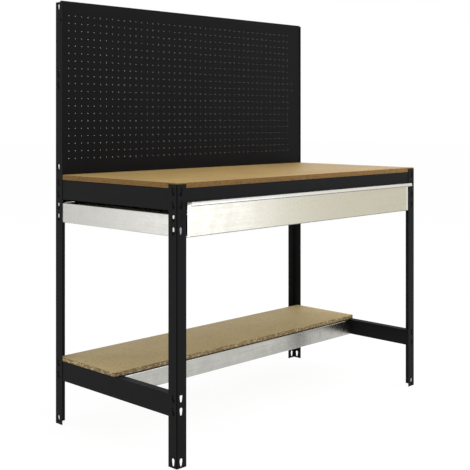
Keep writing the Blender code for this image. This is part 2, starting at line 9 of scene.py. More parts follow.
import bmesh
import bpy
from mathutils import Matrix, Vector


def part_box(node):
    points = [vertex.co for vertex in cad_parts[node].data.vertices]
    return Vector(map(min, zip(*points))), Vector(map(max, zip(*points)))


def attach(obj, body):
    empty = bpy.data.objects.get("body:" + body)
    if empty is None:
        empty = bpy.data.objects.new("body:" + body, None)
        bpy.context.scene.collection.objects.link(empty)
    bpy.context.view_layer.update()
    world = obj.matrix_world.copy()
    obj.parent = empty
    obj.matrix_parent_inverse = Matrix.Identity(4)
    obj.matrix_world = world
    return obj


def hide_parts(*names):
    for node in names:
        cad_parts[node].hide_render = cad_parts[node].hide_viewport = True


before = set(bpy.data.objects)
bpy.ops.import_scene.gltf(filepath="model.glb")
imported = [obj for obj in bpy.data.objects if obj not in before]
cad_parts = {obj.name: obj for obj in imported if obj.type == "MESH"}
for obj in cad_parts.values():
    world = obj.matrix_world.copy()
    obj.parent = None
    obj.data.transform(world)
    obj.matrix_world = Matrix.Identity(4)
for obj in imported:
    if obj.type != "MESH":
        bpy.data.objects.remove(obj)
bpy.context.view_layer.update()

MM = 0.001
BENCH_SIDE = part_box("front_post_right")[1][0]
BENCH_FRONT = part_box("front_post_right")[0][1]
BENCH_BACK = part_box("rear_post_right")[1][1]
BENCH_MIDDLE_Y = (BENCH_FRONT + BENCH_BACK) / 2
GOLDEN_ANGLE = 2.399
CREASE_ANGLE = math.radians(35)

Tree = bpy.types.NodeTree
Node = bpy.types.Node
Material = bpy.types.Material
Mesh = bpy.types.Mesh
Piece = bpy.types.Object
Triple = tuple[float, float, float]
Box = tuple[Vector, Vector]
log = logging.getLogger("workbench")


class Grain(Enum):
    """Way in which a finish's streaks run over a piece."""

    ALONG_X = (0.04, 1.0, 1.0)
    ALONG_Y = (1.0, 0.04, 1.0)


class Fixing(Enum):
    """Kinds of small fastener on the bench, each with the name of its piece."""

    BEAM_RIVET = "beam_rivets"
    GUIDE_RIVET = "guide_rivets"
    PANEL_SCREW = "panel_screws"


def linear(code: str) -> tuple[float, float, float, float]:
    """Turn an sRGB hex colour into linear light.

    Args:
        code: colour such as "#a08a5f".

    Returns:
        Red, green and blue in linear light, and a full alpha.
    """
    parts = []
    for start in (1, 3, 5):
        value = int(code[start:start + 2], 16) / 255
        parts.append(value / 12.92 if value <= 0.04045 else ((value + 0.055) / 1.055) ** 2.4)
    return (*parts, 1.0)


def per_metre(size: float) -> float:
    """Give the texture scale at which one feature has the given size in millimetres."""
    return 1.0 / (size * MM)


def add_node(
    tree: Tree, kind: str, inputs: dict[Any, Any] | None = None, **settings: Any,
) -> Node:
    """Add one node to a tree with its links and settings.

    Args:
        tree: tree that gets the node.
        kind: the node's type.
        inputs: input's name or number, with its value, with the output that feeds it, or
            with the node whose first output feeds it.
        settings: properties of the node itself.

    Returns:
        The new node.
    """
    made = tree.nodes.new(kind)
    for key, value in settings.items():
        setattr(made, key, value)
    for key, value in (inputs or {}).items():
        if isinstance(value, Node):
            value = value.outputs[0]
        if isinstance(value, bpy.types.NodeSocket):
            tree.links.new(value, made.inputs[key])
        else:
            made.inputs[key].default_value = value
    return made


def blank_material(name: str) -> tuple[Material, Tree]:
    """Make an empty material.

    Args:
        name: the material's name.

    Returns:
        The material and its empty node tree.
    """
    material = bpy.data.materials.new(name)
    material.use_nodes = True
    material.node_tree.nodes.clear()
    return material, material.node_tree


def object_space(tree: Tree, stretch: Triple = (1.0, 1.0, 1.0)) -> Node:
    """Give a stretched copy of the Object coordinates.

    Args:
        tree: the material's tree.
        stretch: factor along each axis; a small one makes long features.

    Returns:
        The node with the stretched coordinates.
    """
    place = add_node(tree, "ShaderNodeTexCoord")
    return add_node(tree, "ShaderNodeMapping", {
        "Vector": place.outputs["Object"], "Scale": stretch,
    })


def close_material(
    tree: Tree, settings: dict[str, Any], bumps: list[tuple[Any, float, float]],
) -> None:
    """Add the surface shader, its bumps and the material's output.

    Args:
        tree: the material's tree.
        settings: inputs of the Principled shader.
        bumps: height, strength and depth in metres of each bump, coarse to fine.
    """
    surface = {}
    for height, strength, depth in bumps:
        surface = {"Normal": add_node(tree, "ShaderNodeBump", {
            "Height": height, "Strength": strength, "Distance": depth, **surface,
        })}
    shader = add_node(tree, "ShaderNodeBsdfPrincipled", {**settings, **surface})
    add_node(tree, "ShaderNodeOutputMaterial", {"Surface": shader})


@dataclass(frozen=True)
class PowderCoat:
    """Black polyester powder coat, sprayed on and baked.

    It gives the eye a deep black satin skin with a faint orange peel and a few dusty scuffs,
    and painted shade: deeper black lines along the posts' outer bends.
    """

    name: str = "powder_coat_black_satin"
    colour: str = "#1c1c1d"
    worn: str = "#242425"
    # Colour of the painted shade along the posts' outer bends.
    bend: str = "#060607"
    bend_shade_reach: float = 0.0
    bend_shade_core: float = 0.7
    roughness: float = 0.6
    shine: float = 0.06

    def painted_bend_shade_mask(self, tree: Tree, place: Node) -> Node:
        """Find the posts' outer bends, which stand at the bench's four corners and get painted shade.

        Args:
            tree: the material's tree.
            place: node with the Object coordinates.

        Returns:
            The node that gives 1 on a bend and 0 elsewhere.
        """
        moved = add_node(tree, "ShaderNodeVectorMath", {
            0: place, 1: (0.0, BENCH_MIDDLE_Y, 0.0),
        }, operation="SUBTRACT")
        away = add_node(tree, "ShaderNodeVectorMath", {0: moved}, operation="ABSOLUTE")
        spot = add_node(tree, "ShaderNodeSeparateXYZ", {"Vector": away})
        shares = [
            add_node(tree, "ShaderNodeMapRange", {
                "Value": spot.outputs[axis], "From Min": half - self.bend_shade_reach,
                "From Max": half - self.bend_shade_reach * self.bend_shade_core,
            })
            for axis, half in (("X", BENCH_SIDE), ("Y", BENCH_BACK - BENCH_MIDDLE_Y))
        ]
        return add_node(tree, "ShaderNodeMath", {0: shares[0], 1: shares[1]}, operation="MULTIPLY")

    def build(self) -> Material:
        """Make the material.

        Returns:
            The finished material.
        """
        material, tree = blank_material(self.name)
        place = object_space(tree)
        # Orange peel is 2 mm across on the real coat, drawn at 5 mm so that it shows.
        peel = add_node(tree, "ShaderNodeTexNoise", {
            "Vector": place, "Scale": per_metre(5), "Roughness": 0.4,
        })
        # Dusty cloudiness from handling, about 90 mm across.
        cloud = add_node(tree, "ShaderNodeTexNoise", {
            "Vector": place, "Scale": per_metre(90), "Detail": 5.0, "Roughness": 0.62,
        })
        amount = add_node(tree, "ShaderNodeMapRange", {
            "Value": cloud, "From Min": 0.42, "From Max": 0.72, "To Max": 0.6,
        })
        tint = add_node(tree, "ShaderNodeMix", {
            0: amount, 6: linear(self.colour), 7: linear(self.worn),
        }, data_type="RGBA")
        # Painted shade: the posts' outer bends turn to the darker bend colour.
        if self.bend_shade_reach:
            tint = add_node(tree, "ShaderNodeMix", {
                0: self.painted_bend_shade_mask(tree, place), 6: tint.outputs[2], 7: linear(self.bend),
            }, data_type="RGBA")
        gloss = add_node(tree, "ShaderNodeMapRange", {
            "Value": cloud, "From Min": 0.3, "From Max": 0.7,
            "To Min": self.roughness - 0.04, "To Max": self.roughness + 0.08,
        })
        close_material(tree, {
            "Base Color": tint.outputs[2], "Roughness": gloss,
            "Specular IOR Level": self.shine,
        }, [(peel, 0.25, 0.12 * MM)])
        return material


@dataclass(frozen=True)
class GalvanisedSteel:
    """Galvanised steel sheet, hot dipped, skin rolled and folded.

    It gives the eye a pale grey metal with faint zinc spangle and soft streaks along the
    rolling direction.
    """

    name: str = "galvanised_steel_rolled"
    light: str = "#bebdb7"
    dark: str = "#aeada6"
    roughness: float = 0.24
    grain: Grain = Grain.ALONG_X
    waviness: float = 0.12

    def build(self) -> Material:
        """Make the material.

        Returns:
            The finished material.
        """
        material, tree = blank_material(self.name)
        even = object_space(tree)
        # Zinc spangle after skin rolling, grains about 9 mm across.
        spangle = add_node(tree, "ShaderNodeTexVoronoi", {"Vector": even, "Scale": per_metre(9)})
        # Roll streaks about 7 mm wide and some 180 mm long.
        streak = add_node(tree, "ShaderNodeTexNoise", {
            "Vector": object_space(tree, self.grain.value), "Scale": per_metre(7),
            "Detail": 3.0, "Roughness": 0.55,
        })
        # Bloom of the zinc, soft patches about 60 mm across.
        bloom = add_node(tree, "ShaderNodeTexNoise", {"Vector": even, "Scale": per_metre(60)})
        grains = add_node(tree, "ShaderNodeSeparateColor", {"Color": spangle.outputs["Color"]})
        both = bloom
        for pattern, weight in ((streak, 0.9), (grains, 0.22)):
            both = add_node(tree, "ShaderNodeMath", {
                0: pattern, 1: weight, 2: both,
            }, operation="MULTIPLY_ADD")
        amount = add_node(tree, "ShaderNodeMapRange", {
            "Value": both, "From Min": 0.75, "From Max": 1.35,
        })
        tint = add_node(tree, "ShaderNodeMix", {
            0: amount, 6: linear(self.light), 7: linear(self.dark),
        }, data_type="RGBA")
        gloss = add_node(tree, "ShaderNodeMapRange", {
            "Value": both, "From Min": 0.7, "From Max": 1.4,
            "To Min": self.roughness - 0.05, "To Max": self.roughness + 0.06,
        })
        close_material(tree, {
            "Base Color": tint.outputs[2], "Metallic": 1.0, "Roughness": gloss,
        }, [(bloom, self.waviness, 0.6 * MM), (streak, 0.1, 0.05 * MM)])
        return material


@dataclass(frozen=True)
class PlatedSteel:
    """Upset steel fastener, plated or blackened after heading.

    It gives the eye a small turned highlight on a smooth dome with fine tool marks.
    """

    name: str
    colour: str
    roughness: float
    metallic: float = 1.0
    shine: float = 0.5

    def build(self) -> Material:
        """Make the material.

        Returns:
            The finished material.
        """
        material, tree = blank_material(self.name)
        # Marks of the heading tool, about 0.8 mm apart.
        marks = add_node(tree, "ShaderNodeTexNoise", {
            "Vector": object_space(tree), "Scale": per_metre(0.8), "Detail": 3.0,
        })
        gloss = add_node(tree, "ShaderNodeMapRange", {
            "Value": marks, "From Min": 0.3, "From Max": 0.7,
            "To Min": self.roughness - 0.06, "To Max": self.roughness + 0.08,
        })
        close_material(tree, {
            "Base Color": linear(self.colour), "Metallic": self.metallic,
            "Roughness": gloss, "Specular IOR Level": self.shine,
        }, [(marks, 0.2, 0.05 * MM)])
        return material


@dataclass(frozen=True)
class PressedBoard:
    """Wood board pressed from fibres or chips with glue, sanded, its edges sawn.

    It gives the eye a matt tan face flecked with fibres or chips, and darker, rougher edges.
    """

    name: str
    pale: str
    deep: str
    fleck: str
    fleck_size: float
    fleck_share: float
    contrast: float
    roughness: float
    relief: float
    stretch: Triple

    def build(self) -> Material:
        """Make the material.

        Returns:
            The finished material.
        """
        material, tree = blank_material(self.name)
        place = object_space(tree, self.stretch)
        chips = add_node(tree, "ShaderNodeTexVoronoi", {
            "Vector": place, "Scale": per_metre(self.fleck_size),
        })
        lots = add_node(tree, "ShaderNodeSeparateColor", {"Color": chips.outputs["Color"]})
        # Soft clouds where fibres lie thicker, about 120 mm across.
        cloud = add_node(tree, "ShaderNodeTexNoise", {
            "Vector": place, "Scale": per_metre(120), "Detail": 4.0, "Roughness": 0.6,
        })
        fibre = add_node(tree, "ShaderNodeTexNoise", {
            "Vector": place, "Scale": per_metre(self.fleck_size * 0.6), "Detail": 3.0,
        })
        mixed = add_node(tree, "ShaderNodeMath", {
            0: lots.outputs["Red"], 1: self.contrast, 2: cloud,
        }, operation="MULTIPLY_ADD")
        amount = add_node(tree, "ShaderNodeMapRange", {
            "Value": mixed, "From Min": 0.35, "From Max": 0.65 + self.contrast,
        })
        ground = add_node(tree, "ShaderNodeMix", {
            0: amount, 6: linear(self.pale), 7: linear(self.deep),
        }, data_type="RGBA")
        picked = add_node(tree, "ShaderNodeMath", {
            0: lots.outputs["Green"], 1: self.fleck_share,
        }, operation="LESS_THAN")
        softened = add_node(tree, "ShaderNodeMath", {0: picked, 1: 0.8}, operation="MULTIPLY")
        tint = add_node(tree, "ShaderNodeMix", {
            0: softened, 6: ground.outputs[2], 7: linear(self.fleck),
        }, data_type="RGBA")
        gloss = add_node(tree, "ShaderNodeMapRange", {
            "Value": fibre, "From Min": 0.3, "From Max": 0.7,
            "To Min": self.roughness - 0.06, "To Max": self.roughness + 0.08,
        })
        close_material(tree, {
            "Base Color": tint.outputs[2], "Roughness": gloss, "Specular IOR Level": 0.35,
        }, [
            (lots.outputs["Red"], self.relief * 0.5, 0.1 * MM),
            (fibre, self.relief, 0.15 * MM),
        ])
        return material


class Finishes:
    """All finishes of the bench, each made once."""

    def __init__(self) -> None:
        """Make the materials."""
        # The frame's coat carries painted shade along the posts' outer bends.
        self.coat = PowderCoat(bend_shade_reach=3.2 * MM).build()
        self.panel_coat = PowderCoat("powder_coat_black_panel", "#161617", "#1c1c1d").build()
        self.galvanised = GalvanisedSteel().build()
        self.galvanised_side = GalvanisedSteel(
            "galvanised_steel_rolled_deep", "#c6c5c1", "#bbbab5", roughness=0.3,
            grain=Grain.ALONG_Y,
        ).build()
        self.galvanised_front = GalvanisedSteel(
            "galvanised_steel_rolled_warm", "#cac5b0", "#c3bea9", roughness=0.28,
            waviness=0.05,
        ).build()
        # A paler copy of the galvanised sheet: painted highlight on the drawer front's lip and hems.
        self.galvanised_painted_highlight = GalvanisedSteel(
            "galvanised_steel_painted_highlight", "#dfddd4", "#d4d2c9", roughness=0.26,
        ).build()
        # A darker copy of the galvanised sheet: painted shade on the drawer front's lip curl and
        # lower bend, and on the guides' end tabs.
        self.galvanised_painted_shade = GalvanisedSteel(
            "galvanised_steel_painted_shade", "#8e8d88", "#7d7c77", roughness=0.4,
        ).build()
        # Blackened rivet steel, also the dark of the painted-shade plates in the keyholes.
        self.black_rivet = PlatedSteel(
            "blackened_steel_rivets_and_painted_shade", "#060607", roughness=0.45, metallic=0.0, shine=0.04,
        ).build()
        self.board_face = PressedBoard(
            "fibreboard_sanded_face", pale="#b99b64", deep="#a78a54", fleck="#997b46",
            fleck_size=3.0, fleck_share=0.06, contrast=0.25, roughness=0.5, relief=0.12,
            stretch=(0.5, 1.0, 1.0),
        ).build()
        self.board_edge = PressedBoard(
            "fibreboard_sawn_edge", pale="#8e6b34", deep="#795726", fleck="#5f451e",
            fleck_size=2.2, fleck_share=0.12, contrast=0.5, roughness=0.72, relief=0.35,
            stretch=(0.3, 0.3, 1.0),
        ).build()
        self.chip_face = PressedBoard(
            "chipboard_sanded_face", pale="#d2bb88", deep="#c3ab76", fleck="#a99163",
            fleck_size=4.0, fleck_share=0.05, contrast=0.4, roughness=0.62, relief=0.2,
            stretch=(0.7, 1.0, 1.0),
        ).build()
        self.chip_edge = PressedBoard(
            "chipboard_sawn_edge", pale="#a58f66", deep="#6d5633", fleck="#d4c39c",
            fleck_size=4.0, fleck_share=0.2, contrast=1.1, roughness=0.78, relief=0.6,
            stretch=(0.6, 0.6, 1.4),
        ).build()


def corners(node: str) -> Box:
    """Give the lowest and the highest corner of a solid."""
    low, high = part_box(node)
    return Vector(low), Vector(high)


def plain_object(name: str, data: Any) -> Piece:
    """Put a mesh, lamp or camera into the scene as an object at the origin.

    Args:
        name: name of the object.
        data: the mesh, lamp or camera.

    Returns:
        The object.
    """
    piece = bpy.data.objects.new(name, data)
    bpy.context.scene.collection.objects.link(piece)
    return piece


def settle(piece: Piece, sheet: float = 0.0) -> Piece:
    """Turn a piece and its modifiers into one plain mesh with smooth bends.

    Args:
        piece: object whose modifiers are applied.
        sheet: thickness that it gets behind its faces, where it has none.

    Returns:
        The same object with its finished mesh.
    """
    if sheet:
        wall = piece.modifiers.new("sheet", "SOLIDIFY")
        wall.thickness = sheet
        wall.offset = -1.0
        wall.use_even_offset = True
    bpy.context.view_layer.update()
    depsgraph = bpy.context.evaluated_depsgraph_get()
    mesh = bpy.data.meshes.new_from_object(
        piece.evaluated_get(depsgraph), preserve_all_data_layers=True, depsgraph=depsgraph,
    )
    piece.modifiers.clear()
    piece.data = mesh
    mesh.name = piece.name
    mesh.shade_smooth()
    mesh.set_sharp_from_angle(angle=CREASE_ANGLE)
    return piece


def hand_in(piece: Piece, body: str, slot: str, *nodes: str) -> Piece:
    """Attach a finished piece to the body that it rides on and hide the solids that it stands for.

    Args:
        piece: the finished piece.
        body: body that it moves with.
        slot: not used.
        nodes: solids that it replaces.

    Returns:
        The same piece.
    """
    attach(piece, body)
    if nodes:
        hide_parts(*nodes)
    return piece


def piece_of(
    work: bmesh.types.BMesh, name: str, materials: list[Material], sheet: float = 0.0,
) -> Piece:
    """Close the work on a mesh and make the finished piece of it.

    Args:
        work: the mesh as it was worked.
        name: the piece's name.
        materials: its materials, in the order of their numbers.
        sheet: thickness that it gets behind its faces, where it has none.

    Returns:
        The piece with its plain mesh.
    """
    mesh = bpy.data.meshes.new(name)
    work.to_mesh(mesh)
    work.free()
    for material in materials:
        mesh.materials.append(material)
    return settle(plain_object(name, mesh), sheet)


def quarter_bend(radius: float, steps: int) -> list[tuple[float, float]]:
    """Walk round a quarter bend from its flat side.

    Args:
        radius: the bend's radius.
        steps: number of its steps.

    Returns:
        How far each point lies inside the outer edge and below the flat side.
    """
    angles = [math.pi / 2 * step / steps for step in range(steps + 1)]
    return [
        (radius * (1 - math.sin(angle)), radius * (1 - math.cos(angle))) for angle in angles
    ]


def grow(name: str, start: Mesh, tree: Tree, sizes: dict[str, Any]) -> Piece:
    """Run a Geometry Nodes tree and keep its result as a plain mesh.

    Args:
        name: name of the new object.
        start: mesh that the tree begins with.
        tree: the Geometry Nodes tree.
        sizes: the tree's inputs by name.

    Returns:
        The object with the finished mesh and no modifier.
    """
    piece = plain_object(name, start)
    modifier = piece.modifiers.new("make", "NODES")
    modifier.node_group = tree
    for item in tree.interface.items_tree:
        if item.item_type == "SOCKET" and item.in_out == "INPUT" and item.name in sizes:
            modifier[item.identifier] = sizes[item.name]
    return settle(piece)


def geometry_tree(name: str, sizes: list[str], counts: list[str]) -> tuple[Tree, Any]:
    """Start a Geometry Nodes tree with named inputs.

    Args:
        name: the tree's name.
        sizes: names of the inputs in metres.
        counts: names of the inputs that count something.

    Returns:
        The tree and the outputs of its Group Input node.
    """
    tree = bpy.data.node_groups.new(name, "GeometryNodeTree")
    tree.interface.new_socket("Geometry", in_out="INPUT", socket_type="NodeSocketGeometry")
    for names, kind in (
        (sizes, "NodeSocketFloat"), (counts, "NodeSocketInt"),
        (["Material"], "NodeSocketMaterial"),
    ):
        for key in names:
            tree.interface.new_socket(key, in_out="INPUT", socket_type=kind)
    tree.interface.new_socket("Geometry", in_out="OUTPUT", socket_type="NodeSocketGeometry")
    return tree, add_node(tree, "NodeGroupInput").outputs


def end_tree(tree: Tree, geometry: Node, material: Any, weld: float = 0.0) -> None:
    """Close a tree with Realize Instances and Set Material.

    Args:
        tree: the tree.
        geometry: node with the finished geometry.
        material: output with the material.
        weld: distance under which points are merged.
    """
    real = add_node(tree, "GeometryNodeRealizeInstances", {"Geometry": geometry})
    if weld:
        real = add_node(tree, "GeometryNodeMergeByDistance", {
            "Geometry": real, "Distance": weld,
        })
    dressed = add_node(tree, "GeometryNodeSetMaterial", {"Geometry": real, "Material": material})
    add_node(tree, "NodeGroupOutput", {"Geometry": dressed})


def perforation_tree() -> Tree:
    """Make the tree that sets punched holes side by side in a flat sheet.

    Each cell is a ring of sixteen faces between a round hole and the cell's own border, so
    that the cells close up to one sheet with nothing but the holes open.

    Returns:
        The Geometry Nodes tree.
    """
    tree, out = geometry_tree(
        "punched_sheet", ["Column Pitch", "Row Pitch", "Hole Radius"], ["Columns", "Rows"],
    )
    rim = add_node(tree, "GeometryNodeMeshCircle", {
        "Vertices": 16, "Radius": out["Hole Radius"],
    }, fill_type="NONE")
    ring = add_node(tree, "GeometryNodeExtrudeMesh", {"Mesh": rim, "Offset Scale": 0.0}, mode="EDGES")
    spot = add_node(tree, "ShaderNodeSeparateXYZ", {
        "Vector": add_node(tree, "GeometryNodeInputPosition"),
    })
    away = [
        add_node(tree, "ShaderNodeMath", {0: spot.outputs[axis]}, operation="ABSOLUTE")
        for axis in ("X", "Y")
    ]
    larger = add_node(tree, "ShaderNodeMath", {0: away[0], 1: away[1]}, operation="MAXIMUM")
    border, spans = [], []
    for axis, pitch, count in (("X", "Column Pitch", "Columns"), ("Y", "Row Pitch", "Rows")):
        share = add_node(tree, "ShaderNodeMath", {
            0: spot.outputs[axis], 1: larger,
        }, operation="DIVIDE")
        half = add_node(tree, "ShaderNodeMath", {0: out[pitch], 1: 0.5}, operation="MULTIPLY")
        border.append(add_node(tree, "ShaderNodeMath", {
            0: share, 1: half,
        }, operation="MULTIPLY"))
        steps = add_node(tree, "ShaderNodeMath", {0: out[count], 1: 1.0}, operation="SUBTRACT")
        spans.append(add_node(tree, "ShaderNodeMath", {
            0: steps, 1: out[pitch],
        }, operation="MULTIPLY"))
    corner = add_node(tree, "ShaderNodeCombineXYZ", {"X": border[0], "Y": border[1]})
    cell = add_node(tree, "GeometryNodeSetPosition", {
        "Geometry": ring, "Selection": ring.outputs["Top"], "Position": corner,
    })
    grid = add_node(tree, "GeometryNodeMeshGrid", {
        "Size X": spans[0], "Size Y": spans[1],
        "Vertices X": out["Columns"], "Vertices Y": out["Rows"],
    })
    cells = add_node(tree, "GeometryNodeInstanceOnPoints", {"Points": grid, "Instance": cell})
    end_tree(tree, cells, out["Material"], weld=0.02 * MM)
    return tree


def fastener_tree() -> Tree:
    """Make the tree that sets a domed, shanked and headed fastener at each point.

    The point's attribute "facing" is the way in which its head looks.

    Returns:
        The Geometry Nodes tree.
    """
    tree, out = geometry_tree("domed_fasteners", [
        "Head Radius", "Head Height", "Shank Radius", "Shank Length", "Tail Radius",
        "Tail Height",
    ], [])
    ball = add_node(tree, "GeometryNodeMeshUVSphere", {"Segments": 24, "Rings": 16})
    spot = add_node(tree, "ShaderNodeSeparateXYZ", {
        "Vector": add_node(tree, "GeometryNodeInputPosition"),
    })
    level = add_node(tree, "ShaderNodeMath", {0: spot.outputs["Z"], 1: 0.0}, operation="MAXIMUM")
    flat = add_node(tree, "ShaderNodeCombineXYZ", {
        "X": spot.outputs["X"], "Y": spot.outputs["Y"], "Z": level,
    })
    dome = add_node(tree, "GeometryNodeSetPosition", {"Geometry": ball, "Position": flat})
    shank = add_node(tree, "GeometryNodeMeshCylinder", {
        "Vertices": 20, "Radius": out["Shank Radius"], "Depth": out["Shank Length"],
    })
    upright, upended = (0.0, 0.0, 0.0), (math.pi, 0.0, 0.0)
    whole = (1.0, 1.0, 1.0)
    sizes = {
        end: add_node(tree, "ShaderNodeCombineXYZ", {
            "X": out[f"{end} Radius"], "Y": out[f"{end} Radius"], "Z": out[f"{end} Height"],
        })
        for end in ("Head", "Tail")
    }
    joined = add_node(tree, "GeometryNodeJoinGeometry")
    for shape, drop, turn, size in (
        (dome, 0.0, upright, sizes["Head"]), (dome, -1.0, upended, sizes["Tail"]),
        (shank, -0.5, upright, whole),
    ):
        depth = add_node(tree, "ShaderNodeMath", {
            0: out["Shank Length"], 1: drop,
        }, operation="MULTIPLY")
        placed = add_node(tree, "GeometryNodeTransform", {
            "Geometry": shape, "Rotation": turn, "Scale": size,
            "Translation": add_node(tree, "ShaderNodeCombineXYZ", {"Z": depth}),
        })
        tree.links.new(placed.outputs[0], joined.inputs[0])
    facing = add_node(tree, "GeometryNodeInputNamedAttribute", {
        "Name": "facing",
    }, data_type="FLOAT_VECTOR")
    turned = add_node(tree, "FunctionNodeAlignRotationToVector", {"Vector": facing}, axis="Z")
    end_tree(tree, add_node(tree, "GeometryNodeInstanceOnPoints", {
        "Points": out["Geometry"], "Instance": joined, "Rotation": turned,
    }), out["Material"])
    return tree


@dataclass
class FastenerSet:
    """Fasteners of one kind, each at the seat that its own node holds.

    A squat one is shorter than its head is wide.
    """

    kind: Fixing
    material: Material
    tree: Tree
    head_radius: float = 5.2 * MM
    head_height: float = 2 * MM
    shank_radius: float = 3.5 * MM
    tail_radius: float = 4.6 * MM
    tail_height: float = 1.4 * MM
    squat: bool = True

    def nodes(self) -> list[str]:
        """List the solids of this kind.

        Returns:
            The names of their nodes.
        """
        names = sorted(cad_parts)
        if self.kind is Fixing.PANEL_SCREW:
            return [name for name in names if "screw" in name]
        guide = self.kind is Fixing.GUIDE_RIVET
        return [name for name in names if "rivet" in name and ("guide" in name) == guide]

    def seat(self, node: str) -> tuple[Vector, Vector, float]:
        """Read where one fastener sits.

        Args:
            node: name of the fastener's node.

        Returns:
            Point under the head, direction of the head, and overall length.
        """
        low, high = corners(node)
        spans = high - low
        middle = (low + high) / 2
        pick = min if self.squat else max
        axis = pick((0, 1), key=lambda way: spans[way])
        facing = Vector((0.0, 0.0, 0.0))
        facing[axis] = 1.0 if middle[axis] > (0.0, BENCH_MIDDLE_Y)[axis] else -1.0
        point = middle + facing * (spans[axis] / 2 - self.head_height)
        return point, facing, spans[axis]

    def build(self) -> Piece:
        """Make all fasteners of this kind as one piece.

        Returns:
            The finished piece.
        """
        nodes = self.nodes()
        seats = [self.seat(node) for node in nodes]
        name = self.kind.value
        mesh = bpy.data.meshes.new(name)
        mesh.from_pydata([tuple(point) for point, _, _ in seats], [], [])
        way = mesh.attributes.new("facing", "FLOAT_VECTOR", "POINT")
        for index, (_, facing, _) in enumerate(seats):
            way.data[index].vector = facing
        length = seats[0][2] - self.head_height - self.tail_height
        piece = grow(name, mesh, self.tree, {
            "Head Radius": self.head_radius, "Head Height": self.head_height,
            "Shank Radius": self.shank_radius, "Shank Length": length,
            "Tail Radius": self.tail_radius, "Tail Height": self.tail_height,
            "Material": self.material,
        })
        return hand_in(piece, "frame", "black_rivet", *nodes)


@dataclass
class PerforatedPanel:
    """Back panel: a punched pan with all four rims folded to the rear."""

    material: Material
    tree: Tree
    columns: int = 45
    rows: int = 20
    column_pitch: float = 26.18 * MM
    row_pitch: float = 24.96 * MM
    hole_radius: float = 1.15 * MM
    first_column: float = 30.0 * MM
    top_row: float = 1351.3 * MM
    bend_radius: float = 2 * MM
    bend_steps: int = 4
    sheet: float = 1 * MM
    worktop_gap: float = 0.3 * MM

    def build(self) -> Piece:
        """Make the punched pan.

        Returns:
            The finished panel.
        """
        piece = grow("punched_back_panel", bpy.data.meshes.new("start"), self.tree, {
            "Columns": self.columns, "Rows": self.rows,
            "Column Pitch": self.column_pitch, "Row Pitch": self.row_pitch,
            "Hole Radius": self.hole_radius, "Material": self.material,
        })
        self.fold_rims(piece.data)
        settle(piece, self.sheet)
        return hand_in(piece, "frame", "black_powder_coat", "perforated_panel")

    def fold_rims(self, mesh: Mesh) -> None:
        """Stand the punched field up, add its plain margins and fold the rims back.

        Args:
            mesh: flat punched field, centred on the origin.
        """
        low, high = corners("perforated_panel")
        low.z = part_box("worktop_board")[1][2] + self.worktop_gap
        near = 0.01 * MM
        reach_x = self.columns * self.column_pitch / 2 - near
        reach_z = self.rows * self.row_pitch / 2 - near
        middle_x = self.first_column - BENCH_SIDE
        middle_x += (self.columns - 1) * self.column_pitch / 2
        middle_z = self.top_row - (self.rows - 1) * self.row_pitch / 2
        work = bmesh.new()
        work.from_mesh(mesh)
        border = [
            edge for edge in work.edges if edge.is_boundary
            and (abs(edge.verts[0].co.x) > reach_x or abs(edge.verts[0].co.y) > reach_z)
        ]
        for vertex in work.verts:
            vertex.co = (vertex.co.x + middle_x, low.y, vertex.co.y + middle_z)
        rings = quarter_bend(self.bend_radius, self.bend_steps) + [(0.0, high.y - low.y)]
        for inset, depth in rings:
            grown = bmesh.ops.extrude_edge_only(work, edges=border)["geom"]
            for vertex in (item for item in grown if isinstance(item, bmesh.types.BMVert)):
                if abs(vertex.co.x - middle_x) > reach_x:
                    vertex.co.x = high.x - inset if vertex.co.x > middle_x else low.x + inset
                if abs(vertex.co.z - middle_z) > reach_z:
                    vertex.co.z = high.z - inset if vertex.co.z > middle_z else low.z + inset
                vertex.co.y = low.y + depth
            border = [item for item in grown if isinstance(item, bmesh.types.BMEdge)]
        bmesh.ops.recalc_face_normals(work, faces=work.faces)
        work.faces.ensure_lookup_table()
        if work.faces[0].normal.y > 0:
            bmesh.ops.reverse_faces(work, faces=work.faces)
        work.to_mesh(mesh)
        work.free()


